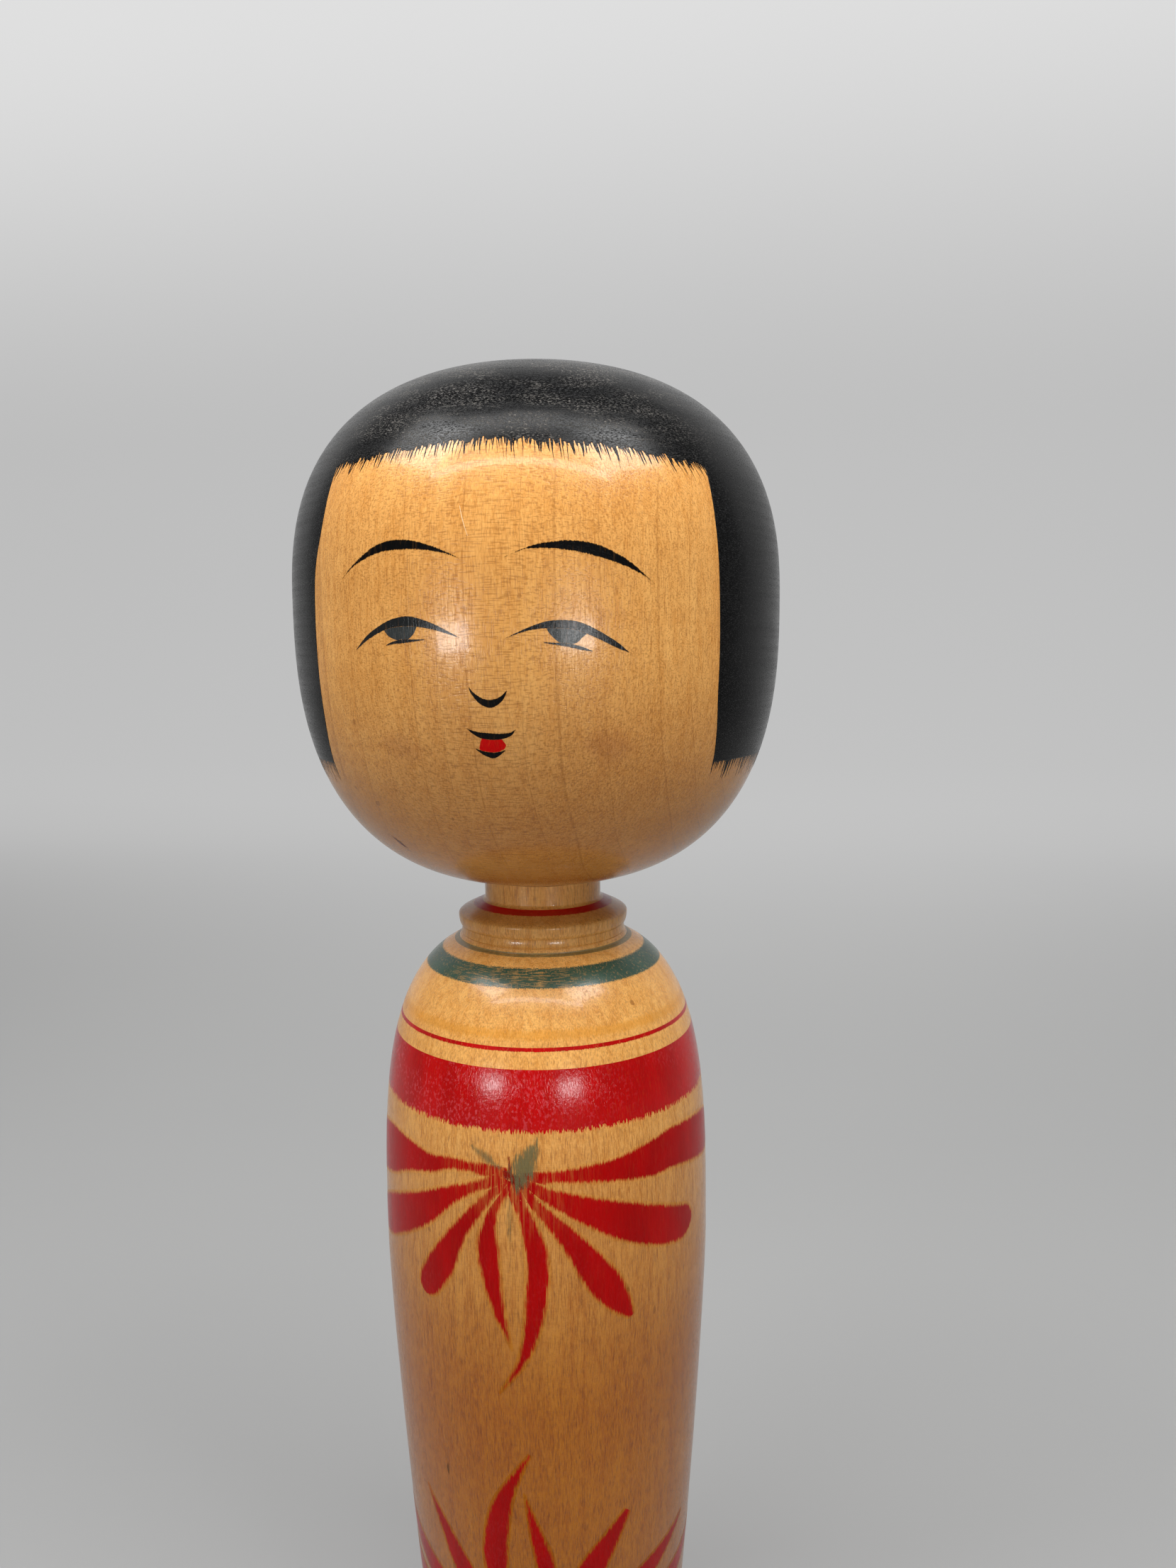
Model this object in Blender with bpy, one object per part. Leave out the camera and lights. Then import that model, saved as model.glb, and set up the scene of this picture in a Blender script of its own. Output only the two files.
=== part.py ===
"""Kokeshi doll: a turned body with its neck and plug, and a round head that turns on the plug.

Metres, +Z up. The doll stands on z = 0, its turning axis is +Z, and its face looks along -Y.
"""
import math

import bmesh
import bpy

# Trunk and shoulder of the body, from the floor up
FOOT_RADIUS = 0.0223
FOOT_CHAMFER = 0.0008
BELLY_RADIUS = 0.0286
BELLY_HEIGHT = 0.0910
TRUNK_BOW = 1.30
SHOULDER_RISE = 0.0554
SHOULDER_FULLNESS = 3.39

# Hollow-sided drum on the shoulder, with one scribed line round it
DRUM_RADIUS = 0.0148
DRUM_HEIGHT = 0.0022
DRUM_HOLLOW = 2.0
SHOULDER_LEDGE = 0.0002
SCRIBE_HEIGHT = 0.0008
SCRIBE_WIDTH = 0.0004
SCRIBE_DEPTH = 0.0002

# Collar bead that overhangs the drum's waist, and the ogee that runs up to the neck
WAIST_DEPTH = 0.0006
BEAD_RADIUS = 0.01475
BEAD_UNDERSIDE = 0.0019
OGEE_HEIGHT = 0.0030
NECK_RADIUS = 0.0101
NECK_LENGTH = 0.0032

# Plug on the neck, and the blind socket in the head that takes it
PLUG_RADIUS = 0.0070
PLUG_LENGTH = 0.0220
PLUG_CHAMFER = 0.0010
PLUG_CLEARANCE = 0.0003
SOCKET_END_GAP = 0.0015
SOCKET_CHAMFER = 0.0006

# Head: its widest circle, the crown above it and the chin below it
HEAD_RADIUS = 0.0406
CROWN_HEIGHT = 0.0380
CROWN_FULLNESS = 2.52
CHIN_DEPTH = 0.0472
CHIN_FULLNESS = 2.60
SEAT_LIP = 0.0006
SEAT_GAP = 0.0003

# Facets of the turned surfaces
TURN_STEPS = 48
CURVE_POINTS = 12
BEAD_POINTS = 5
DRUM_POINTS = 3
MERGE_DISTANCE = 0.000001
SHARP_EDGE = math.radians(35)

# Finishes: colour, roughness and metallic value
WOOD_ROUGHNESS = 0.35
BODY_WOOD = (0.83, 0.46, 0.16, 1.0)
HEAD_WOOD = (0.78, 0.40, 0.12, 1.0)


def swell(radius, height, fullness, rim_radius=0.0):
    """Points of a full round quarter outline, from its widest circle to where it narrows to rim_radius."""
    last_angle = math.acos((rim_radius / radius) ** (fullness / 2))
    points = []
    for index in range(CURVE_POINTS + 1):
        angle = last_angle * index / CURVE_POINTS
        across = radius * max(math.cos(angle), 0.0) ** (2 / fullness)
        along = height * math.sin(angle) ** (2 / fullness)
        points.append((across, along))
    points[-1] = (rim_radius, points[-1][1])
    return points


def ogee(top_radius, top_height, foot_radius, foot_height):
    """S-shaped run from a narrow neck down to a wider bead, upright at both ends."""
    points = []
    for index in range(1, CURVE_POINTS):
        share = index / CURVE_POINTS
        flare = share * share * (3 - 2 * share)
        radius = top_radius + (foot_radius - top_radius) * flare
        points.append((radius, top_height + (foot_height - top_height) * share))
    return points


def bead_underside(radius, top, root_radius, bottom):
    """Quarter round from the bead's widest circle in to the waist below it."""
    points = []
    for index in range(BEAD_POINTS + 1):
        angle = math.pi / 2 * index / BEAD_POINTS
        across = root_radius + (radius - root_radius) * math.cos(angle)
        points.append((across, top + (bottom - top) * math.sin(angle)))
    return points


def trunk(top_radius, top_height):
    """The bowed taper from the belly down to the foot's chamfer."""
    points = []
    for index in range(1, CURVE_POINTS + 1):
        share = index / CURVE_POINTS
        radius = top_radius - (top_radius - FOOT_RADIUS) * share ** TRUNK_BOW
        points.append((radius, top_height + (FOOT_CHAMFER - top_height) * share))
    return points


# Heights of the body, each from the one below it
ledge_radius = DRUM_RADIUS + SHOULDER_LEDGE
shoulder = swell(BELLY_RADIUS, SHOULDER_RISE, SHOULDER_FULLNESS, ledge_radius)
drum_foot = BELLY_HEIGHT + shoulder[-1][1]
waist = drum_foot + DRUM_HEIGHT
waist_radius = min(DRUM_RADIUS, BEAD_RADIUS) - WAIST_DEPTH
bead_widest = waist + BEAD_UNDERSIDE
neck_foot = bead_widest + OGEE_HEIGHT
neck_top = neck_foot + NECK_LENGTH
plug_tip = neck_top + PLUG_LENGTH


def drum_point(height):
    """Point of the drum's hollow wall, which flares from the waist out to its foot."""
    share = (waist - height) / DRUM_HEIGHT
    return (waist_radius + (DRUM_RADIUS - waist_radius) * share ** DRUM_HOLLOW, height)


def drum_wall():
    """The drum from under the waist to its foot, with one fine V scribed into it."""
    middle = drum_foot + SCRIBE_HEIGHT
    upper_edge = middle + SCRIBE_WIDTH / 2
    lower_edge = middle - SCRIBE_WIDTH / 2
    points = []
    for index in range(1, DRUM_POINTS + 1):
        points.append(drum_point(waist + (upper_edge - waist) * index / DRUM_POINTS))
    points.append((drum_point(middle)[0] - SCRIBE_DEPTH, middle))
    for index in range(DRUM_POINTS + 1):
        points.append(drum_point(lower_edge + (drum_foot - lower_edge) * index / DRUM_POINTS))
    return points


def body_outline():
    """Half section of the body, from the plug's tip down the outside to the middle of the foot."""
    points = [(0.0, plug_tip), (PLUG_RADIUS - PLUG_CHAMFER, plug_tip)]
    points += [(PLUG_RADIUS, plug_tip - PLUG_CHAMFER), (PLUG_RADIUS, neck_top)]
    points += [(NECK_RADIUS, neck_top), (NECK_RADIUS, neck_foot)]
    points += ogee(NECK_RADIUS, neck_foot, BEAD_RADIUS, bead_widest)
    points += bead_underside(BEAD_RADIUS, bead_widest, waist_radius, waist)
    points += drum_wall()
    points += [(radius, BELLY_HEIGHT + rise) for radius, rise in reversed(shoulder)]
    points += trunk(BELLY_RADIUS, BELLY_HEIGHT)
    points += [(FOOT_RADIUS - FOOT_CHAMFER, 0.0), (0.0, 0.0)]
    return points


def head_outline():
    """Half section of the head, measured from its seat: crown, chin, seat and socket."""
    crown = swell(HEAD_RADIUS, CROWN_HEIGHT, CROWN_FULLNESS)
    chin = swell(HEAD_RADIUS, CHIN_DEPTH, CHIN_FULLNESS, NECK_RADIUS + SEAT_LIP)
    widest = chin[-1][1]
    socket_radius = PLUG_RADIUS + PLUG_CLEARANCE
    socket_end = PLUG_LENGTH - SEAT_GAP + SOCKET_END_GAP
    points = [(radius, widest + rise) for radius, rise in reversed(crown)]
    points += [(radius, widest - drop) for radius, drop in chin[1:]]
    points += [(socket_radius + SOCKET_CHAMFER, 0.0), (socket_radius, SOCKET_CHAMFER)]
    points += [(socket_radius, socket_end), (0.0, socket_end)]
    return points


def wood(name, colour):
    """Waxed pale wood of one colour."""
    material = bpy.data.materials.new(name)
    material.use_nodes = True
    shader = material.node_tree.nodes["Principled BSDF"]
    shader.inputs["Base Color"].default_value = colour
    shader.inputs["Roughness"].default_value = WOOD_ROUGHNESS
    shader.inputs["Metallic"].default_value = 0.0
    return material


def turn(name, outline, base_height, material):
    """Turn a half section about the Z axis into one closed solid, as a lathe does."""
    work = bmesh.new()
    verts = [work.verts.new((radius, 0.0, height)) for radius, height in outline]
    edges = [work.edges.new(pair) for pair in zip(verts, verts[1:])]
    bmesh.ops.spin(work, geom=verts + edges, cent=(0, 0, 0), axis=(0, 0, 1),
                   angle=2 * math.pi, steps=TURN_STEPS, use_merge=True)
    bmesh.ops.remove_doubles(work, verts=work.verts, dist=MERGE_DISTANCE)
    bmesh.ops.recalc_face_normals(work, faces=work.faces)
    mesh = bpy.data.meshes.new(name)
    work.to_mesh(mesh)
    work.free()
    mesh.shade_smooth()
    mesh.set_sharp_from_angle(angle=SHARP_EDGE)
    mesh.materials.append(material)
    piece = bpy.data.objects.new(name, mesh)
    piece.location = (0.0, 0.0, base_height)
    bpy.context.collection.objects.link(piece)
    return piece


for old in list(bpy.data.objects):
    bpy.data.objects.remove(old, do_unlink=True)

body = turn("body", body_outline(), 0.0, wood("body_wood", BODY_WOOD))
head = turn("head", head_outline(), neck_top + SEAT_GAP, wood("head_wood", HEAD_WOOD))
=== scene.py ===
import math
import random

import bmesh
import bpy
from mathutils import Matrix, Vector


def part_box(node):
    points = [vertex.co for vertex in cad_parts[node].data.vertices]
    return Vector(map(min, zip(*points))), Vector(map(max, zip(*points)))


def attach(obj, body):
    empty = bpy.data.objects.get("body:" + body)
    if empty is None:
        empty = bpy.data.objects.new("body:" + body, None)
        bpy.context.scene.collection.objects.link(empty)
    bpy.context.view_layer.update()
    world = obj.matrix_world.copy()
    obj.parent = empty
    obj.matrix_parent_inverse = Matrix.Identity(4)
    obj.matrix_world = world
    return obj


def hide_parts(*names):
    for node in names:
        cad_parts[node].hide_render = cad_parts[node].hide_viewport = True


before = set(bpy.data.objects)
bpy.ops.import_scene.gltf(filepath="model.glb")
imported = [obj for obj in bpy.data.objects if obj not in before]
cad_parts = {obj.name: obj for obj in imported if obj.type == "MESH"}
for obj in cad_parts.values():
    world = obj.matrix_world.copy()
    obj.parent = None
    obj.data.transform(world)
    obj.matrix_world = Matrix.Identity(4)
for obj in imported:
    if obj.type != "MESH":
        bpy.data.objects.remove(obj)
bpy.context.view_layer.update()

# Body. One turning of pale straight-grained wood, from its flat foot up to the plug that takes the head.
# Shoulder, drum, collar bead and neck are cut on the same lathe, then the wood is waxed while it spins.
MM = 0.001
body_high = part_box("body")[1]
BELLY_RADIUS = body_high.x
BELLY_HEIGHT = 91.0 * MM
FOOT_RADIUS = 22.3 * MM
FOOT_ROUND = 0.8 * MM
TRUNK_BOW = 1.30
SHOULDER_RISE = 55.4 * MM
SHOULDER_FULLNESS = 3.39
DRUM_RADIUS = 14.8 * MM
DRUM_HEIGHT = 2.2 * MM
DRUM_HOLLOW = 2.0
SHOULDER_LEDGE = 0.2 * MM
SCRIBE_HEIGHT = 0.8 * MM
SCRIBE_WIDTH = 0.4 * MM
SCRIBE_DEPTH = 0.2 * MM
WAIST_DEPTH = 0.6 * MM
BEAD_RADIUS = 14.75 * MM
BEAD_UNDERSIDE = 1.9 * MM
OGEE_HEIGHT = 3.0 * MM
NECK_RADIUS = 10.1 * MM
NECK_LENGTH = 3.2 * MM
PLUG_RADIUS = 7.0 * MM
PLUG_CHAMFER = 1.0 * MM
plug_tip = body_high.z
TURN_STEPS = 192
CURVE_STEPS = 48
FINE_STEPS = 12
TURN_CREASE = math.radians(40)
GIRTH_RADIUS = 40.0


def swell(radius, height, fullness, rim_radius=0.0):
    """Full round quarter outline, from its widest circle to where it narrows to rim_radius."""
    last_angle = math.acos((rim_radius / radius) ** (fullness / 2))
    points = []
    for index in range(CURVE_STEPS + 1):
        angle = last_angle * index / CURVE_STEPS
        across = radius * max(math.cos(angle), 0.0) ** (2 / fullness)
        points.append((across, height * math.sin(angle) ** (2 / fullness)))
    points[-1] = (rim_radius, points[-1][1])
    return points


shoulder = swell(BELLY_RADIUS, SHOULDER_RISE, SHOULDER_FULLNESS, DRUM_RADIUS + SHOULDER_LEDGE)
drum_foot = BELLY_HEIGHT + shoulder[-1][1]
waist = drum_foot + DRUM_HEIGHT
waist_radius = BEAD_RADIUS - WAIST_DEPTH
bead_widest = waist + BEAD_UNDERSIDE
neck_foot = bead_widest + OGEE_HEIGHT
neck_top = neck_foot + NECK_LENGTH


def ogee_and_bead():
    """S-shaped run from the neck out to the bead, and the bead's round underside."""
    points = []
    for index in range(1, CURVE_STEPS):
        share = index / CURVE_STEPS
        flare = share * share * (3 - 2 * share)
        points.append((NECK_RADIUS + (BEAD_RADIUS - NECK_RADIUS) * flare, neck_foot - OGEE_HEIGHT * share))
    for index in range(FINE_STEPS + 1):
        angle = math.pi / 2 * index / FINE_STEPS
        across = waist_radius + WAIST_DEPTH * math.cos(angle)
        points.append((across, bead_widest - BEAD_UNDERSIDE * math.sin(angle)))
    return points


def drum_point(height):
    """Point of the drum's hollow wall, which flares from the waist out to its foot."""
    share = (waist - height) / DRUM_HEIGHT
    return (waist_radius + (DRUM_RADIUS - waist_radius) * share ** DRUM_HOLLOW, height)


def drum():
    """The drum from under the waist to its foot, with one fine line scribed into it."""
    middle = drum_foot + SCRIBE_HEIGHT
    upper_edge = middle + SCRIBE_WIDTH / 2
    lower_edge = middle - SCRIBE_WIDTH / 2
    points = []
    for index in range(1, FINE_STEPS + 1):
        points.append(drum_point(waist + (upper_edge - waist) * index / FINE_STEPS))
    points.append((drum_point(middle)[0] - SCRIBE_DEPTH, middle))
    for index in range(FINE_STEPS + 1):
        points.append(drum_point(lower_edge + (drum_foot - lower_edge) * index / FINE_STEPS))
    return points


def trunk():
    """Bowed taper from the belly to the foot's round edge, and the flat foot."""
    points = []
    for index in range(1, CURVE_STEPS + 1):
        share = index / CURVE_STEPS
        radius = BELLY_RADIUS - (BELLY_RADIUS - FOOT_RADIUS) * share ** TRUNK_BOW
        points.append((radius, BELLY_HEIGHT + (FOOT_ROUND - BELLY_HEIGHT) * share))
    for index in range(1, FINE_STEPS + 1):
        angle = math.pi / 2 * index / FINE_STEPS
        inset = FOOT_ROUND * (1 - math.cos(angle))
        points.append((FOOT_RADIUS - inset, FOOT_ROUND * (1 - math.sin(angle))))
    return points + [(0.0, 0.0)]


def body_outline():
    """Half section of the body, from the plug's tip down its outside to the middle of the foot."""
    points = [(0.0, plug_tip), (PLUG_RADIUS - PLUG_CHAMFER, plug_tip)]
    points += [(PLUG_RADIUS, plug_tip - PLUG_CHAMFER), (PLUG_RADIUS, neck_top)]
    points += [(NECK_RADIUS, neck_top), (NECK_RADIUS, neck_foot)]
    points += ogee_and_bead() + drum()
    points += [(radius, BELLY_HEIGHT + rise) for radius, rise in reversed(shoulder)]
    return points + trunk()


def mesh_from(work, name):
    """A finished mesh of what was built point by point."""
    mesh = bpy.data.meshes.new(name)
    work.to_mesh(mesh)
    work.free()
    return mesh


def piece_from(mesh, name):
    """A mesh as a piece in the scene."""
    piece = bpy.data.objects.new(name, mesh)
    bpy.context.collection.objects.link(piece)
    return piece


def rings_of(work, outline):
    """One ring of corners for each point of a half section; a point on the axis is one corner all round."""
    rings = []
    for radius, height in outline:
        places = TURN_STEPS if radius > 0 else 1
        angles = [2 * math.pi * step / TURN_STEPS for step in range(places)]
        ring = [work.verts.new((radius * math.sin(a), -radius * math.cos(a), height)) for a in angles]
        rings.append(ring * (TURN_STEPS // places))
    return rings


def turned_piece(name, outline, material):
    """Turn a half section about +Z into a closed piece, laid out flat for baking."""
    along = [0.0]
    for (radius, height), (next_radius, next_height) in zip(outline, outline[1:]):
        along.append(along[-1] + math.hypot(next_radius - radius, next_height - height))
    work = bmesh.new()
    flat = work.loops.layers.uv.new("OFBake")
    rings = rings_of(work, outline)
    for row in range(len(outline) - 1):
        for step in range(TURN_STEPS):
            corners = [(row, step), (row + 1, step), (row + 1, step + 1), (row, step + 1)]
            if outline[row][0] == 0:
                corners = corners[:3]
            if outline[row + 1][0] == 0:
                corners = [corners[0], corners[1], corners[3]]
            face = work.faces.new([rings[r][s % TURN_STEPS] for r, s in corners])
            for loop, (r, s) in zip(face.loops, corners):
                loop[flat].uv = (s / TURN_STEPS, along[r] / along[-1])
    mesh = mesh_from(work, name)
    mesh.shade_smooth()
    mesh.set_sharp_from_angle(angle=TURN_CREASE)
    facing = [value for normal in mesh.vertex_normals for value in normal.vector]
    mesh.attributes.new("skin", "FLOAT_VECTOR", "POINT").data.foreach_set("vector", facing)
    mesh.materials.append(material)
    return piece_from(mesh, name)


def srgb(red, green, blue):
    """A colour as the eye reads it, 0 to 255, in the linear values that a shader takes."""
    return tuple((value / 255) ** 2.2 for value in (red, green, blue)) + (1.0,)


def fill(tree, sockets, values):
    """Set inputs to plain values, or link them to what other nodes make."""
    for key, value in values.items():
        if isinstance(value, bpy.types.NodeSocket):
            tree.links.new(value, sockets[key])
        else:
            sockets[key].default_value = value


def put(tree, kind, inputs=None, **settings):
    """Add a node, set its properties and fill its inputs."""
    node = tree.nodes.new(kind)
    for key, value in settings.items():
        setattr(node, key, value)
    fill(tree, node.inputs, inputs or {})
    return node


def count(tree, operation, first, second=0.0):
    """One calculation with two numbers."""
    return put(tree, "ShaderNodeMath", {0: first, 1: second}, operation=operation).outputs[0]


def times(tree, first, second):
    """One number times another."""
    return count(tree, "MULTIPLY", first, second)


def plus(tree, first, second):
    """One number and another together."""
    return count(tree, "ADD", first, second)


def axes(tree, place):
    """A place's measures along X, Y and Z."""
    return put(tree, "ShaderNodeSeparateXYZ", {0: place}).outputs


def vector(tree, x=0.0, y=0.0, z=0.0):
    """A place, or a direction, from its measures along X, Y and Z."""
    return put(tree, "ShaderNodeCombineXYZ", {0: x, 1: y, 2: z}).outputs[0]


def combine(tree, operation, first, second):
    """One calculation with two places."""
    return put(tree, "ShaderNodeVectorMath", {0: first, 1: second}, operation=operation).outputs[0]


def off_axis(tree, place):
    """How far a place is from the Z axis."""
    level = combine(tree, "MULTIPLY", place, (1.0, 1.0, 0.0))
    return put(tree, "ShaderNodeVectorMath", {0: level}, operation="LENGTH").outputs["Value"]


def grain(tree, place, factors, detail=2.0):
    """Smooth noise, from 0 to 1, whose features are as long as one over each factor."""
    inputs = {"Vector": combine(tree, "MULTIPLY", place, factors), "Scale": 1.0, "Detail": detail}
    return put(tree, "ShaderNodeTexNoise", inputs).outputs[0]


def step_up(tree, value, low, high, first=0.0, last=1.0):
    """A soft step from first to last as value goes from low to high."""
    inputs = {"Value": value, "From Min": low, "From Max": high, "To Min": first, "To Max": last}
    return put(tree, "ShaderNodeMapRange", inputs, interpolation_type="SMOOTHSTEP").outputs[0]


def between(tree, value, low, low_full, high_full, high):
    """One from low_full to high_full, with a soft edge out to low and to high."""
    return times(tree, step_up(tree, value, low, low_full), step_up(tree, value, high_full, high, 1.0, 0.0))


def marks(tree, place, factors, low, high, detail=2.0):
    """Soft-edged marks where smooth noise goes from low to high."""
    return step_up(tree, grain(tree, place, factors, detail), low, high)


def tint(tree, share, ground, colour, blend="MIX"):
    """One colour laid over another."""
    inputs = {0: share, 6: ground, 7: colour}
    return put(tree, "ShaderNodeMix", inputs, data_type="RGBA", blend_type=blend).outputs[2]


def millimetres(tree):
    """The place on the piece, in millimetres."""
    place = put(tree, "ShaderNodeTexCoord").outputs["Object"]
    return combine(tree, "MULTIPLY", place, (1 / MM, 1 / MM, 1 / MM))


def round_the_axis(tree, place):
    """The place round the turning axis: the way round in mm at the head's girth, radius and height."""
    sides = axes(tree, place)
    angle = count(tree, "ARCTAN2", sides["X"], times(tree, sides["Y"], -1.0))
    return vector(tree, times(tree, angle, GIRTH_RADIUS), off_axis(tree, place), sides["Z"])


def new_group(name, inputs, outputs, kind="ShaderNodeTree"):
    """An empty node group with named sockets."""
    tree = bpy.data.node_groups.new(name, kind)
    for label, socket in inputs:
        tree.interface.new_socket(label, in_out="INPUT", socket_type="NodeSocket" + socket)
    for label, socket in outputs:
        tree.interface.new_socket(label, in_out="OUTPUT", socket_type="NodeSocket" + socket)
    return tree, tree.nodes.new("NodeGroupInput").outputs, tree.nodes.new("NodeGroupOutput").inputs


# Colour multiplied into the wood from a given height down: painted shade, darker towards the foot.
PAINTED_SHADE_TONE = srgb(188, 152, 62)
SCRATCH_TONE = srgb(246, 216, 168)
RING_DRIFT = 6.0
RING_UNEVEN = 2.2
WOOD_ROUGHNESS = 0.20


def billet_place(tree, place, pith):
    """The depth from a far pith, with a little drift, and the place by depth, way round and height."""
    from_pith = combine(tree, "SUBTRACT", place, pith)
    distance = off_axis(tree, from_pith)
    depth = plus(tree, distance, times(tree, grain(tree, place, (0.03, 0.03, 0.009)), RING_DRIFT))
    sides = axes(tree, from_pith)
    bearing = times(tree, count(tree, "ARCTAN2", sides["Y"], sides["X"]), distance)
    return depth, vector(tree, depth, bearing, sides["Z"])


def growth_rings(tree, place, depth, billet, width):
    """The thin line that ends each year's wood, broken here and there, and the deeper wood before it."""
    uneven = times(tree, grain(tree, billet, (0.11, 0.0, 0.0)), RING_UNEVEN)
    phase = count(tree, "FRACT", plus(tree, count(tree, "DIVIDE", depth, width), uneven))
    broken = step_up(tree, grain(tree, place, (0.5, 0.5, 0.04)), 0.34, 0.50, 0.25, 1.0)
    line = times(tree, between(tree, phase, 0.94, 0.98, 0.98, 0.997), broken)
    return line, step_up(tree, phase, 0.3, 0.97)


def turned_wood_group():
    """Straight-grained wood cut round: growth lines, ray flecks, fibres, specks and turning marks,
    with painted shade that darkens it lower down.
    """
    numbers = ("Ring Width", "Ring Strength", "Ray Strength", "Fibre Strength", "Shade Top", "Shade Foot",
               "Shade Strength")
    inputs = [("Pith", "Vector")] + [(label, "Float") for label in numbers]
    inputs += [(label, "Color") for label in ("Light", "Deep", "Line")]
    outputs = (("Color", "Color"), ("Roughness", "Float"), ("Height", "Float"))
    tree, given, made = new_group("turned_wood", inputs, outputs)
    place = millimetres(tree)
    depth, billet = billet_place(tree, place, given["Pith"])
    line, late_wood = growth_rings(tree, place, depth, billet, given["Ring Width"])
    line = times(tree, line, given["Ring Strength"])
    fibre_noise = grain(tree, place, (6.0, 6.0, 0.42))
    dark_fibres = times(tree, step_up(tree, fibre_noise, 0.50, 0.70), given["Fibre Strength"])
    pale_fibres = times(tree, step_up(tree, fibre_noise, 0.50, 0.32), given["Fibre Strength"])
    mottle = times(tree, marks(tree, place, (1.1, 1.1, 0.16), 0.42, 0.68), given["Fibre Strength"])
    rays = times(tree, marks(tree, billet, (0.50, 6.5, 4.6), 0.49, 0.66, 1.0), given["Ray Strength"])
    speckle = grain(tree, place, (4.0, 4.0, 1.3))
    pale_specks = step_up(tree, speckle, 0.54, 0.70)
    dark_specks = step_up(tree, speckle, 0.46, 0.30)
    clouds = marks(tree, place, (0.045, 0.045, 0.03), 0.30, 0.70)
    streaks = marks(tree, place, (0.45, 0.45, 0.015), 0.35, 0.70)
    round_it = round_the_axis(tree, place)
    turned = marks(tree, round_it, (0.012, 0.0, 0.5), 0.40, 0.64, 3.0)
    scratches = marks(tree, round_it, (0.05, 0.0, 4.5), 0.68, 0.76)
    specks = marks(tree, place, (0.5, 0.5, 0.4), 0.85, 0.87, 0.0)

    layers = (
        (clouds, 0.45, "Deep"), (streaks, 0.28, "Deep"), (turned, 0.15, "Deep"), (late_wood, 0.15, "Deep"),
        (mottle, 0.50, "Deep"), (dark_fibres, 0.44, "Line"), (dark_specks, 0.18, "Line"),
        (pale_fibres, 0.50, "Light"), (rays, 0.38, "Line"), (pale_specks, 0.45, "Light"),
        (line, 0.65, "Line"), (specks, 0.45, "Line"),
    )
    colour = given["Light"]
    for mask, strength, tone in layers:
        colour = tint(tree, times(tree, mask, strength), colour, given[tone])
    colour = tint(tree, times(tree, scratches, 0.05), colour, SCRATCH_TONE)
    # Painted shade: the wood is darkened below a given height, more towards a lower one.
    painted_shade = step_up(tree, axes(tree, place)["Z"], given["Shade Top"], given["Shade Foot"])
    colour = tint(tree, times(tree, painted_shade, given["Shade Strength"]), colour, PAINTED_SHADE_TONE, "MULTIPLY")
    rough = plus(tree, WOOD_ROUGHNESS, times(tree, dark_fibres, 0.14))
    relief = plus(tree, times(tree, dark_fibres, -0.6), times(tree, rays, -0.4))
    fill(tree, made, {"Color": colour, "Roughness": rough, "Height": plus(tree, relief, speckle)})
    return tree


turned_wood = turned_wood_group()
# Body wood: the pale ground also stands for the shoulder's sheen; lower down it is painted shade.
BODY_BILLET = {
    "Pith": (-210.0, -30.0, 0.0), "Ring Width": 5.2, "Ring Strength": 0.15, "Ray Strength": 0.30,
    "Fibre Strength": 1.0, "Shade Top": 139.0, "Shade Foot": 68.0, "Shade Strength": 1.0,
    "Light": srgb(238, 180, 103), "Deep": srgb(196, 126, 52), "Line": srgb(112, 60, 14),
}
WAX_COAT = 0.20
WAX_ROUGHNESS = 0.08
PAINT_COAT = 0.06
WOOD_SHINE = 0.32
WOOD_RELIEF = 0.06 * MM
RELIEF_STRENGTH = 0.3


def principled(name):
    """A new material and its one shader."""
    material = bpy.data.materials.new(name)
    material.use_nodes = True
    return material.node_tree, material.node_tree.nodes["Principled BSDF"], material


def wax_over(tree, shader, height, shine=WOOD_SHINE, coat=WAX_COAT):
    """The fine relief of the surface, and the thin coat of wax over it."""
    relief = {"Height": height, "Strength": RELIEF_STRENGTH, "Distance": WOOD_RELIEF}
    fill(tree, shader.inputs, {
        "Normal": put(tree, "ShaderNodeBump", relief).outputs[0], "Specular IOR Level": shine,
        "Coat Weight": coat, "Coat Roughness": WAX_ROUGHNESS,
    })


def wood_of(tree, billet):
    """The wood of one billet, inside a material."""
    return put(tree, "ShaderNodeGroup", billet, node_tree=turned_wood).outputs


def bare_wood(name, billet):
    """Waxed bare wood."""
    tree, shader, material = principled(name)
    wood = wood_of(tree, billet)
    fill(tree, shader.inputs, {"Base Color": wood["Color"], "Roughness": wood["Roughness"]})
    wax_over(tree, shader, wood["Height"])
    return material


body_wood = turned_piece("body_wood", body_outline(), bare_wood("waxed_body_wood", BODY_BILLET))
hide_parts("body")
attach(body_wood, "body")

# Painted bands. Colour held against the spinning body with a loaded brush: a red line round the neck, a
# worn green band and a faint yellow one on the shoulder, and red bands above and below the flowers. The
# lower edge of each broad band has run a little into the upright grain.
FILM = 0.020 * MM
BED = 0.010 * MM
CLOSING_DISTANCE = 0.001 * MM
STROKE_STEP = 0.06
STROKE_COLUMNS = 10
FINEST_STROKE = 0.02
ROUND_TIP = 0.0004
SHEET_REACH = 60.0 * MM
BODY_SHEET = 28.4 * MM
RIM = 0.05
WIDEST_RIM = 0.15
BAND_COLUMNS = 360
BAND_ROWS = 12
RED = srgb(171, 2, 4)
NECK_RED = srgb(186, 3, 14)
GREEN = srgb(54, 78, 64)
GREY_GREEN = srgb(108, 104, 70)
YELLOW = srgb(208, 136, 40)
SCUFF_PINK = srgb(216, 96, 104)
PAINT_GLOSS = 0.22


def named_value(tree, label, kind):
    """A value that each point of a mesh carries."""
    return put(tree, "GeometryNodeInputNamedAttribute", {"Name": label}, data_type=kind).outputs[0]


def scaled(tree, direction, length):
    """A direction times a length."""
    return put(tree, "ShaderNodeVectorMath", {0: direction, "Scale": length}, operation="SCALE").outputs[0]


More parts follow.
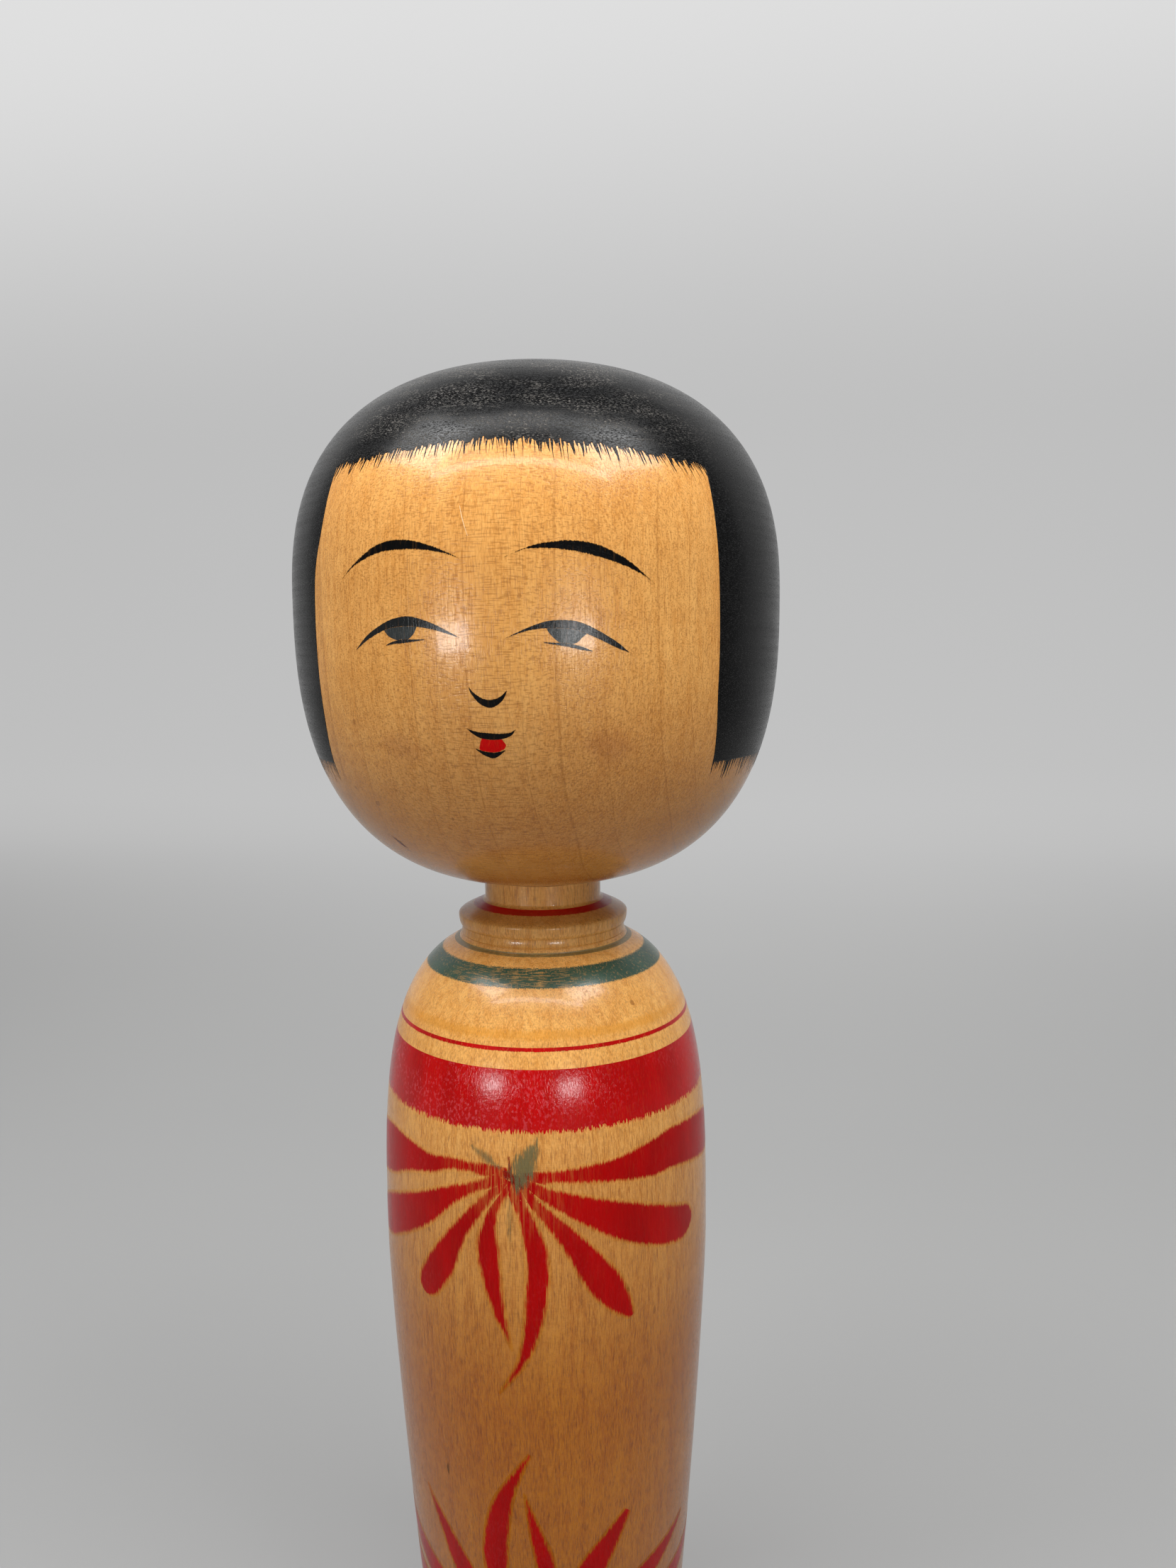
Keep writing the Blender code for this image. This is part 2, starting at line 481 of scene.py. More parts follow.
def painted(tree, geometry, paint):
    """The last steps of a geometry tree: one plain mesh with its paint."""
    whole = put(tree, "GeometryNodeRealizeInstances", {"Geometry": geometry}).outputs[0]
    return put(tree, "GeometryNodeSetMaterial", {"Geometry": whole, "Material": paint}).outputs[0]


def paint_film_tree():
    """Lay a flat sheet of paint on a turned piece; x runs round it, z up it, and the rim sinks in."""
    inputs = (("Sheet", "Geometry"), ("Wood", "Object"), ("Sheet Radius", "Float"), ("Reach", "Float"),
              ("Bed", "Float"), ("Film", "Float"), ("Paint", "Material"))
    tree, given, made = new_group("paint_film", inputs, (("Film", "Geometry"),), "GeometryNodeTree")
    flat = axes(tree, put(tree, "GeometryNodeInputPosition").outputs[0])
    angle = count(tree, "DIVIDE", flat["X"], given["Sheet Radius"])
    inward = vector(tree, times(tree, count(tree, "SINE", angle), -1.0), count(tree, "COSINE", angle))
    source = combine(tree, "SUBTRACT", vector(tree, z=flat["Z"]), scaled(tree, inward, given["Reach"]))
    wood = put(tree, "GeometryNodeObjectInfo", {"Object": given["Wood"]}).outputs["Geometry"]
    skin = named_value(tree, "skin", "FLOAT_VECTOR")
    ray = {"Target Geometry": wood, "Attribute": skin, "Source Position": source, "Ray Direction": inward,
           "Ray Length": given["Reach"]}
    hit = put(tree, "GeometryNodeRaycast", ray, data_type="FLOAT_VECTOR").outputs
    keep = {"Geometry": given["Sheet"], "Name": "skin", "Value": hit["Attribute"]}
    sheet = put(tree, "GeometryNodeStoreNamedAttribute", keep, data_type="FLOAT_VECTOR").outputs[0]

    def layer(rise):
        at = combine(tree, "ADD", hit["Hit Position"], scaled(tree, hit["Hit Normal"], rise))
        return put(tree, "GeometryNodeSetPosition", {"Geometry": sheet, "Position": at}).outputs[0]

    sunk = times(tree, given["Bed"], -1.0)
    raised = times(tree, named_value(tree, "lift", "FLOAT"), plus(tree, given["Film"], given["Bed"]))
    top = layer(plus(tree, sunk, raised))
    underside = put(tree, "GeometryNodeFlipFaces", {"Mesh": layer(sunk)}).outputs[0]
    joined = put(tree, "GeometryNodeJoinGeometry")
    tree.links.new(underside, joined.inputs[0])
    tree.links.new(top, joined.inputs[0])
    close_up = {"Geometry": joined.outputs[0], "Distance": CLOSING_DISTANCE}
    closed = put(tree, "GeometryNodeMergeByDistance", close_up).outputs[0]
    tree.links.new(painted(tree, closed, given["Paint"]), made["Film"])
    return tree


paint_film = paint_film_tree()


def through_tree(piece, tree, values):
    """Put a piece through a geometry tree with named inputs, and keep what comes out as its own mesh."""
    modifier = piece.modifiers.new(tree.name, "NODES")
    modifier.node_group = tree
    for item in tree.interface.items_tree:
        if item.item_type == "SOCKET" and item.in_out == "INPUT" and item.name in values:
            modifier[item.identifier] = values[item.name]
    shown = piece.evaluated_get(bpy.context.evaluated_depsgraph_get())
    mesh = bpy.data.meshes.new_from_object(shown)
    piece.modifiers.clear()
    piece.data = mesh


def lay_film(piece, wood, sheet_radius, paint, film=FILM):
    """Lay a flat sheet on a turned piece as a film that catches the light as the wood under it does."""
    through_tree(piece, paint_film, {"Wood": wood, "Sheet Radius": sheet_radius, "Reach": SHEET_REACH,
                                     "Bed": BED, "Film": film, "Paint": paint})
    mesh = piece.data
    mesh.shade_smooth()
    skin = mesh.attributes["skin"]
    mesh.normals_split_custom_set_from_vertices([item.vector.normalized() for item in skin.data])
    mesh.attributes.remove(mesh.attributes["skin"])


def join_rows(work, rows):
    """Join rows of corners by quads, facing out when a row runs to the right and rows run down."""
    for high, low in zip(rows, rows[1:]):
        for corners in zip(high, low, low[1:], high[1:]):
            work.faces.new(corners)


def shares(steps, rim=0.0):
    """Even shares from 0 to 1, with one more close to each end where there is a rim."""
    even = [rim + (1 - 2 * rim) * step / steps for step in range(steps + 1)]
    return [0.0] + even + [1.0] if rim else even


def smooth_run(points, where):
    """Points at the given shares of a smooth curve through listed ones."""
    before = tuple(2 * a - b for a, b in zip(points[0], points[1]))
    after = tuple(2 * a - b for a, b in zip(points[-1], points[-2]))
    ends = [before] + list(points) + [after]
    made = []
    for share in where:
        at = share * (len(points) - 1)
        span = min(int(at), len(points) - 2)
        t = at - span
        place = []
        for a, b, c, d in zip(*ends[span:span + 4]):
            bend = (2 * a - 5 * b + 4 * c - d) * t ** 2 + (3 * b - a - 3 * c + d) * t ** 3
            place.append(0.5 * (2 * b + (c - a) * t + bend))
        made.append(tuple(place))
    return made


class Sheet:
    """A flat sheet of paint, drawn in degrees round the doll and millimetres up it."""

    def __init__(self, radius):
        self.work = bmesh.new()
        layers = self.work.verts.layers.float
        labels = ("lift", "edge", "run")
        for label in labels:
            layers.new(label)
        self.lift, self.edge, self.run = (layers[label] for label in labels)
        self.radius = radius
        self.strokes = 0

    def grid(self, rows, ring=False):
        """Join rows of (x, z, distance from the painted edge in mm, share of the stroke) by quads."""
        made = []
        full = 1.0 + STROKE_STEP * self.strokes
        self.strokes += 1
        for number, row in enumerate(rows):
            line = []
            for column, (x, z, edge, run) in enumerate(row):
                vert = self.work.verts.new((x, 0.0, z))
                rim = number in (0, len(rows) - 1) or (not ring and column in (0, len(row) - 1))
                vert[self.lift] = 0.0 if rim else full
                vert[self.edge] = edge
                vert[self.run] = run
                line.append(vert)
            made.append(line)
        join_rows(self.work, made)

    def band(self, top, bottom, soft_top):
        """A ring of paint between two heights; its lower edge may bleed, and its upper edge if soft."""
        rows = []
        for share in shares(BAND_ROWS, RIM / (top - bottom)):
            height = top + (bottom - top) * share
            edge = min(height - bottom, top - height) if soft_top else height - bottom
            line = []
            for column in range(BAND_COLUMNS + 1):
                x = 2 * math.pi * self.radius * (column / BAND_COLUMNS - 0.5)
                line.append((x, height * MM, edge, 1.0))
            rows.append(line)
        self.grid(rows, ring=True)

    def stroke(self, spine, steps, blunt):
        """A brush stroke along points of (degrees, height in mm, half width in mm)."""
        path = smooth_run(spine, shares(steps))
        degree = math.radians(1) * self.radius
        rows = []
        for index, (degrees, height, width) in enumerate(path):
            before = path[max(index - 1, 0)]
            after = path[min(index + 1, steps)]
            ahead = Vector(((after[0] - before[0]) * degree, (after[1] - before[1]) * MM)).normalized()
            share = index / steps
            width = max(width, FINEST_STROKE)
            if share > 1 - blunt:
                width *= math.sqrt(max(1 - ((share - 1 + blunt) / blunt) ** 2, ROUND_TIP))
            line = []
            for across in shares(STROKE_COLUMNS, min(RIM / (2 * width), WIDEST_RIM)):
                side = 2 * across - 1
                x = degrees * degree - ahead.y * side * width * MM
                z = height * MM + ahead.x * side * width * MM
                line.append((x, z, (1 - abs(side)) * width, share))
            rows.append(line)
        self.grid(rows)

    def piece(self, name):
        """The sheet as an object, still flat."""
        return piece_from(mesh_from(self.work, name), name)


def brushed_paint_group():
    """Water paint brushed on wood: it runs along the grain at its edge, and wear takes some of it off."""
    numbers = ("Edge", "Run", "Bleed", "Soft", "Bare", "Dry", "Streak", "Scuff", "Root", "Strength")
    inputs = [("Wood", "Color"), ("Paint", "Color")] + [(label, "Float") for label in numbers]
    outputs = (("Color", "Color"), ("Pigment", "Color"), ("Cover", "Float"))
    tree, given, made = new_group("brushed_paint", inputs, outputs)
    place = millimetres(tree)
    turned = round_the_axis(tree, place)
    girth = axes(tree, turned)["X"]
    fibres = marks(tree, place, (5.0, 5.0, 0.42), 0.32, 0.70)
    reach = count(tree, "SUBTRACT", given["Edge"], times(tree, fibres, given["Bleed"]))
    root = times(tree, step_up(tree, given["Run"], 0.04, 0.13, 1.0, 0.0), given["Root"])
    cover = step_up(tree, plus(tree, reach, root), -0.02, given["Soft"])
    pores = marks(tree, place, (3.4, 3.4, 0.30), 0.54, 0.72, 3.0)
    dry_start = step_up(tree, given["Run"], 0.0, 0.30, 1.0, 0.0)
    dry_streaks = times(tree, dry_start, marks(tree, place, (3.6, 3.6, 0.16), 0.42, 0.66))
    worn_front = between(tree, girth, -34.0, -16.0, 6.0, 26.0)
    round_streaks = times(tree, marks(tree, turned, (0.25, 0.0, 5.5), 0.46, 0.66), worn_front)
    for mask, strength in ((pores, "Bare"), (dry_streaks, "Dry"), (round_streaks, "Streak")):
        cover = count(tree, "SUBTRACT", cover, times(tree, mask, given[strength]))
    cover = times(tree, put(tree, "ShaderNodeClamp", {0: cover}).outputs[0], given["Strength"])

    shade = step_up(tree, grain(tree, place, (0.20, 0.20, 0.07)), 0.30, 0.70, 0.86, 1.06)
    shade = times(tree, shade, step_up(tree, fibres, 0.0, 1.0, 1.04, 0.92))
    tone = put(tree, "ShaderNodeCombineColor", {0: shade, 1: shade, 2: shade}).outputs[0]
    paint = tint(tree, 1.0, given["Paint"], tone, "MULTIPLY")
    flecks = marks(tree, place, (2.2, 2.2, 1.5), 0.50, 0.66, 4.0)
    worn_patch = marks(tree, place, (0.09, 0.09, 0.09), 0.40, 0.60)
    worn_patch = times(tree, worn_patch, step_up(tree, girth, 34.0, -14.0, 0.3, 1.0))
    scuffs = times(tree, times(tree, flecks, worn_patch), given["Scuff"])
    paint = tint(tree, scuffs, paint, SCUFF_PINK)
    colour = tint(tree, cover, given["Wood"], paint)
    fill(tree, made, {"Color": colour, "Pigment": paint, "Cover": cover})
    return tree


brushed_paint = brushed_paint_group()


def paint_on(name, billet, colour, gloss=PAINT_GLOSS, shine=WOOD_SHINE, clear=False, **wear):
    """Brushed paint over waxed wood, with its own bleed and wear; a clear one shows what it lies on."""
    tree, shader, material = principled(name)
    wood = wood_of(tree, billet)
    edge = put(tree, "ShaderNodeAttribute", attribute_name="edge").outputs["Fac"]
    run = put(tree, "ShaderNodeAttribute", attribute_name="run").outputs["Fac"]
    inputs = {"Wood": wood["Color"], "Paint": colour, "Edge": edge, "Run": run, "Strength": 1.0, **wear}
    paint = put(tree, "ShaderNodeGroup", inputs, node_tree=brushed_paint).outputs
    rough = put(tree, "ShaderNodeMix", {0: paint["Cover"], 2: wood["Roughness"], 3: gloss}).outputs[0]
    look = {"Base Color": paint["Pigment" if clear else "Color"], "Roughness": rough}
    if clear:
        look["Alpha"] = paint["Cover"]
    fill(tree, shader.inputs, look)
    wax_over(tree, shader, wood["Height"], shine, PAINT_COAT)
    return material


BAND_PAINTS = {
    "red": paint_on("red_band_paint", BODY_BILLET, RED, gloss=0.12, shine=0.24,
                    Bleed=0.9, Soft=0.25, Bare=0.03, Scuff=0.32),
    "red_line": paint_on("red_line_paint", BODY_BILLET, RED, Bleed=0.10, Soft=0.10, Bare=0.10),
    "neck_line": paint_on("neck_line_paint", BODY_BILLET, NECK_RED, Bleed=0.10, Soft=0.10, Bare=0.03),
    "green": paint_on("green_band_paint", BODY_BILLET, GREEN, Bleed=0.2, Soft=0.2, Bare=0.28, Streak=0.40),
    "grey_green": paint_on("drum_line_paint", BODY_BILLET, GREY_GREEN,
                           Soft=0.06, Bare=0.2, Streak=0.3, Strength=0.85),
    "yellow": paint_on("yellow_band_paint", BODY_BILLET, YELLOW,
                       Bleed=0.5, Soft=0.8, Bare=0.3, Strength=0.50),
}
SOFT_TOPPED = ("yellow_band", "green_band")
BANDS = {
    "neck_line": (150.98, 150.14, "neck_line"),
    "drum_line": (144.70, 144.20, "grey_green"),
    "green_band": (143.15, 140.25, "green"),
    "yellow_band": (135.4, 132.8, "yellow"),
    "shoulder_line": (132.35, 131.65, "red_line"),
    "upper_red_band": (129.15, 119.2, "red"),
    "lower_red_band": (21.0, 11.0, "red"),
    "foot_line": (8.9, 8.2, "red_line"),
}
for band_name, (top, bottom, paint_name) in BANDS.items():
    sheet = Sheet(BODY_SHEET)
    sheet.band(top, bottom, band_name in SOFT_TOPPED)
    band = sheet.piece(band_name)
    lay_film(band, body_wood, BODY_SHEET, BAND_PAINTS[paint_name])
    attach(band, "body")

# Flowers. Two chrysanthemums, brushed freehand: petals fall from a point under the upper red band, and rise
# from a point above the lower one. Each petal is one stroke that starts thin and dry and ends wet and full.
# Petal points are degrees round from the front, height in mm and half width in mm.
UPPER_PETALS = (
    ((1.0, 112.4, 0.9), (17.5, 112.7, 1.5), (33.0, 112.6, 2.3), (47.5, 112.7, 3.4), (59.0, 112.9, 3.8),
     (80.0, 111.3, 4.2), (96.0, 109.5, 3.8)),
    ((0.0, 112.0, 0.9), (19.0, 107.7, 2.3), (37.0, 103.6, 3.5), (54.5, 100.2, 3.6), (68.5, 98.6, 2.9)),
    ((-1.0, 112.0, 0.9), (15.4, 103.4, 1.9), (27.2, 95.2, 3.0), (34.0, 90.3, 2.2), (38.2, 87.4, 0.8)),
    ((-1.5, 112.0, 0.9), (4.8, 104.0, 1.8), (6.9, 97.5, 2.2), (5.2, 88.5, 1.8), (1.0, 81.6, 1.0),
     (-7.0, 75.6, 0.22)),
    ((-2.0, 112.2, 0.9), (-8.0, 105.5, 1.4), (-9.1, 100.0, 2.2), (-6.4, 91.5, 1.5), (-1.6, 83.4, 0.2)),
    ((-3.0, 112.4, 0.9), (-18.0, 103.4, 1.8), (-27.0, 96.0, 2.9), (-35.6, 89.8, 2.5)),
    ((-3.0, 112.6, 0.9), (-20.4, 108.75, 1.7), (-36.4, 103.8, 3.2), (-59.0, 98.4, 3.8),
     (-72.0, 96.0, 3.0)),
    ((-2.0, 113.2, 0.9), (-20.5, 113.45, 1.4), (-30.6, 112.4, 1.9), (-43.8, 111.9, 3.2),
     (-58.0, 110.5, 4.6), (-80.0, 107.5, 4.6), (-95.0, 105.0, 3.8)),
)
LOWER_PETALS = (
    ((-2.0, 29.8, 0.9), (-9.5, 37.0, 2.0), (-11.2, 45.0, 2.7), (-8.6, 53.5, 2.3), (-4.0, 59.2, 1.4),
     (3.2, 65.4, 0.4)),
    ((0.6, 29.8, 0.9), (5.6, 36.5, 1.6), (7.6, 44.0, 2.0), (4.4, 50.4, 1.4), (0.4, 58.2, 0.2)),
    ((-3.0, 29.6, 0.9), (-14.0, 34.2, 1.9), (-25.5, 40.2, 2.6), (-34.0, 46.4, 1.7), (-43.4, 52.6, 0.2)),
    ((3.0, 29.6, 0.9), (14.0, 35.6, 1.9), (24.5, 42.6, 2.9), (32.0, 47.6, 2.1), (38.6, 52.0, 1.0)),
    ((4.0, 29.2, 0.9), (20.0, 31.8, 1.9), (38.0, 35.4, 2.7), (56.0, 38.8, 2.1), (73.0, 42.6, 0.3)),
    ((-4.0, 29.2, 0.9), (-22.0, 31.6, 1.9), (-42.0, 35.0, 2.8), (-60.0, 38.6, 2.2), (-77.0, 43.0, 0.2)),
    ((4.0, 28.6, 0.4), (28.0, 28.8, 2.0), (52.0, 30.0, 2.7), (76.0, 32.6, 2.2), (96.0, 36.0, 0.2)),
    ((-4.0, 28.6, 0.4), (-28.0, 28.8, 2.0), (-52.0, 29.8, 2.7), (-76.0, 32.4, 2.2), (-98.0, 36.0, 0.2)),
)
ROUND_ENDED = (0, 1, 5, 6, 7)
ROUND_END = 0.12
PETAL_SHINE = 0.08
PETAL_RED = srgb(160, 1, 2)
ROOT_RED = srgb(140, 22, 12)
PETAL_STEPS = 60
DAB_STEPS = 24
ROOT_FILM = 1.9 * FILM
DAB_FILM = 2.3 * FILM
ROOT_SMUDGES = (
    ((-1.8, 115.9, 0.5), (-1.6, 114.4, 0.9), (-1.2, 112.8, 1.0), (-0.8, 111.0, 0.6)),
    ((-4.4, 113.6, 0.6), (-1.8, 112.9, 1.3), (0.6, 112.0, 1.4), (2.6, 110.6, 0.6)),
)
DABS = (
    ((8.4, 119.4, 0.8), (5.8, 117.0, 2.2), (3.0, 114.4, 3.0), (1.2, 112.2, 2.6), (0.6, 109.4, 0.8)),
)
FAINT_DABS = (
    ((-15.0, 117.0, 0.8), (-9.0, 115.2, 1.3), (-4.0, 113.8, 0.8)),
    ((-1.4, 109.0, 0.5), (-1.8, 105.4, 1.0), (-1.6, 101.6, 0.6), (-1.2, 95.0, 0.2)),
)

petal_paint = paint_on("petal_paint", BODY_BILLET, PETAL_RED, shine=PETAL_SHINE,
                       Bleed=0.45, Soft=0.60, Bare=0.03, Dry=0.45, Scuff=0.05, Root=0.6)
root_paint = paint_on("root_paint", BODY_BILLET, ROOT_RED, shine=PETAL_SHINE, clear=True,
                      Bleed=0.6, Soft=0.7, Bare=0.2, Strength=0.85)
dab_paint = paint_on("dab_paint", BODY_BILLET, GREY_GREEN, clear=True,
                     Bleed=1.5, Soft=1.4, Bare=0.55, Strength=0.72)
faint_paint = paint_on("faint_dab_paint", BODY_BILLET, GREY_GREEN, clear=True,
                       Bleed=0.6, Soft=0.9, Bare=0.3, Strength=0.5)


def brush_on(name, strokes, wood, sheet_radius, paint, film, steps, round_ended=()):
    """Brush strokes laid on a turned piece as one film; the numbered ones end round."""
    sheet = Sheet(sheet_radius)
    for number, stroke in enumerate(strokes):
        sheet.stroke(stroke, steps, ROUND_END if number in round_ended else 0.0)
    piece = sheet.piece(name)
    lay_film(piece, wood, sheet_radius, paint, film)
    return piece


FLOWERS = (("upper_flower", UPPER_PETALS, ROUND_ENDED), ("lower_flower", LOWER_PETALS, ()))
for flower_name, petals, round_ended in FLOWERS:
    flower = brush_on(flower_name, petals, body_wood, BODY_SHEET, petal_paint, FILM, PETAL_STEPS,
                      round_ended)
    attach(flower, "body")

DAB_LAYERS = (
    ("flower_root", ROOT_SMUDGES, root_paint, ROOT_FILM),
    ("flower_dab", DABS, dab_paint, DAB_FILM),
    ("faint_dabs", FAINT_DABS, faint_paint, DAB_FILM),
)
for dab_name, strokes, paint, film in DAB_LAYERS:
    dabs = brush_on(dab_name, strokes, body_wood, BODY_SHEET, paint, film, DAB_STEPS)
    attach(dabs, "body")

# Head. A second turning, nearly round, with a blind socket bored up into it for the body's plug.
# Its wood is cut with the rays across the face, which gives cross flecks in front and ticks at the sides.
head_low, head_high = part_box("head")
HEAD_RADIUS = head_high.x
head_seat = head_low.z
CHIN_DEPTH = 47.2 * MM
CHIN_FULLNESS = 2.60
CROWN_FULLNESS = 2.52
SEAT_LIP = 0.6 * MM
SOCKET_CLEARANCE = 0.3 * MM
SOCKET_END_GAP = 1.5 * MM
SOCKET_CHAMFER = 0.6 * MM
chin = swell(HEAD_RADIUS, CHIN_DEPTH, CHIN_FULLNESS, NECK_RADIUS + SEAT_LIP)
head_widest = head_seat + chin[-1][1]
crown_height = head_high.z - head_widest
crown = swell(HEAD_RADIUS, crown_height, CROWN_FULLNESS)
# Head wood: the lower face and chin are darkened as painted shade.
HEAD_BILLET = {
    "Pith": (-240.0, -14.0, 0.0), "Ring Width": 5.2, "Ring Strength": 0.42, "Ray Strength": 1.0,
    "Fibre Strength": 0.8, "Shade Top": 192.0, "Shade Foot": 162.0, "Shade Strength": 0.46,
    "Light": srgb(232, 172, 98), "Deep": srgb(196, 128, 56), "Line": srgb(128, 74, 20),
}


def head_outline():
    """Half section of the head: crown, chin, seat and socket."""
    socket_radius = PLUG_RADIUS + SOCKET_CLEARANCE
    socket_end = plug_tip + SOCKET_END_GAP
    points = [(radius, head_widest + rise) for radius, rise in reversed(crown)]
    points += [(radius, head_widest - drop) for radius, drop in chin[1:]]
    points += [(socket_radius + SOCKET_CHAMFER, head_seat), (socket_radius, head_seat + SOCKET_CHAMFER)]
    return points + [(socket_radius, socket_end), (0.0, socket_end)]


head_wood = turned_piece("head_wood", head_outline(), bare_wood("waxed_head_wood", HEAD_BILLET))
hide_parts("head")
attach(head_wood, "head")

# Hair. Black ink brushed over crown, sides and back in a bob, with an open face. Its solid part is one
# film. Grey flecks and fine scratches round the head are painted highlight sparkle on the front of the
# crown, where the lamps shine, and faint wear all round.
HAIR_FILM = 0.030 * MM
CAP_EDGE = 225.0 * MM
FRINGE = ((-40.9, 221.0), (-30.0, 221.5), (-15.0, 222.3), (0.0, 222.8), (15.0, 222.4), (30.0, 221.5),
          (50.3, 220.0))
LEFT_EDGE = ((-40.9, 221.0), (-41.8, 212.7), (-44.3, 204.6), (-45.0, 192.0), (-45.8, 184.0), (-48.0, 177.0))
RIGHT_EDGE = ((50.3, 220.0), (50.2, 212.7), (50.5, 204.6), (51.0, 192.0), (51.6, 186.0), (54.0, 177.0))
FRONT_COLUMNS = 150
BACK_COLUMNS = 200
CAP_ROWS = 30
FRINGE_ROWS = 6
SIDE_ROWS = 60
CURTAIN_RIM = 0.0004
FRINGE_RIM = 0.02
FRINGE_RAGGED = 0.45 * MM
FRINGE_SEED = 5
SIDE_RIM = 0.002
HAIR_WELD = 0.002 * MM
HAIR_CREASE = math.radians(12)
HAIR_BLACK = srgb(7, 7, 8)
# Grey of the painted highlight sparkle on the crown.
SPARKLE_GREY = srgb(150, 144, 136)
HAIR_ROUGHNESS = 0.16
HAIR_SHINE = 0.14
HAIR_RELIEF = 0.03 * MM
LEAST_WEAR = 0.05


def head_radius(height):
    """The head's radius at a height in metres."""
    rise = height - head_widest
    reach, fullness = (crown_height, CROWN_FULLNESS) if rise > 0 else (CHIN_DEPTH, CHIN_FULLNESS)
    return HEAD_RADIUS * max(1 - (abs(rise) / reach) ** fullness, 0.0) ** (1 / fullness)


def on_head(degrees, height):
    """The point of the head's surface at an angle in degrees and a height in metres."""
    radius = head_radius(height)
    angle = math.radians(degrees)
    return (radius * math.sin(angle), -radius * math.cos(angle), height)


def edge_run(points, steps, rim=0.0):
    """Smooth run of (degrees, height in metres) through points of (degrees, height in mm)."""
    return [(degrees, height * MM) for degrees, height in smooth_run(points, shares(steps, rim))]


def patch(work, rows):
    """A patch of hair through rows of points."""
    join_rows(work, [[work.verts.new(place) for place in row] for row in rows])


def hair_patches(work):
    """Cap over the crown, fringe above the face, and the curtain round sides and back."""
    ragged = random.Random(FRINGE_SEED)
    fringe = edge_run(FRINGE, FRONT_COLUMNS)
    inner = [(d, z + FRINGE_RAGGED * ragged.uniform(-1, 1)) for d, z in fringe[1:-1]]
    fringe = fringe[:1] + inner + fringe[-1:]
    left = edge_run(LEFT_EDGE, SIDE_ROWS, SIDE_RIM)
    right = edge_run(RIGHT_EDGE, SIDE_ROWS, SIDE_RIM)
    first, last = LEFT_EDGE[0][0], RIGHT_EDGE[0][0]
    front = [degrees for degrees, height in fringe]
    back = [last + (first + 360 - last) * share for share in shares(BACK_COLUMNS, CURTAIN_RIM)]
    cap_angle = math.asin(((CAP_EDGE - head_widest) / crown_height) ** (CROWN_FULLNESS / 2))
    heights = []
    for row in range(CAP_ROWS):
        angle = math.pi / 2 + (cap_angle - math.pi / 2) * row / CAP_ROWS
        heights.append(head_widest + crown_height * math.sin(angle) ** (2 / CROWN_FULLNESS))
    all_round = front + back[1:]
    patch(work, [[on_head(degrees, height) for degrees in all_round] for height in heights + [CAP_EDGE]])
    drops = shares(FRINGE_ROWS, FRINGE_RIM)
    patch(work, [[on_head(d, CAP_EDGE + (z - CAP_EDGE) * drop) for d, z in fringe] for drop in drops])
    sides = []
    for drop in drops[:-1]:
        sides.append(((last, CAP_EDGE + (right[0][1] - CAP_EDGE) * drop),
                      (first, CAP_EDGE + (left[0][1] - CAP_EDGE) * drop)))
    rows = []
    for (right_degrees, right_height), (left_degrees, left_height) in sides + list(zip(right, left)):
        line = []
        for share in shares(BACK_COLUMNS, CURTAIN_RIM):
            degrees = right_degrees + (left_degrees + 360 - right_degrees) * share
            line.append(on_head(degrees, right_height + (left_height - right_height) * share))
        rows.append(line)
    patch(work, rows)


def hair_film(name, material):
    """The hair as a closed film whose rim runs out into the wood."""
    work = bmesh.new()
    hair_patches(work)
    bmesh.ops.remove_doubles(work, verts=work.verts, dist=HAIR_WELD)
    work.normal_update()
    normals = {vert: vert.normal.copy() for vert in work.verts}
    rim = {vert for vert in work.verts if vert.is_boundary}
    copies = bmesh.ops.duplicate(work, geom=work.faces[:])
    for vert, normal in normals.items():
        copies["vert_map"][vert].co -= normal * BED
        vert.co += normal * (-BED if vert in rim else HAIR_FILM)
    under = [item for item in copies["geom"] if isinstance(item, bmesh.types.BMFace)]
    bmesh.ops.reverse_faces(work, faces=under)
    bmesh.ops.remove_doubles(work, verts=work.verts, dist=CLOSING_DISTANCE)
    mesh = mesh_from(work, name)
    mesh.shade_smooth()
    mesh.set_sharp_from_angle(angle=HAIR_CREASE)
    mesh.materials.append(material)
    return piece_from(mesh, name)


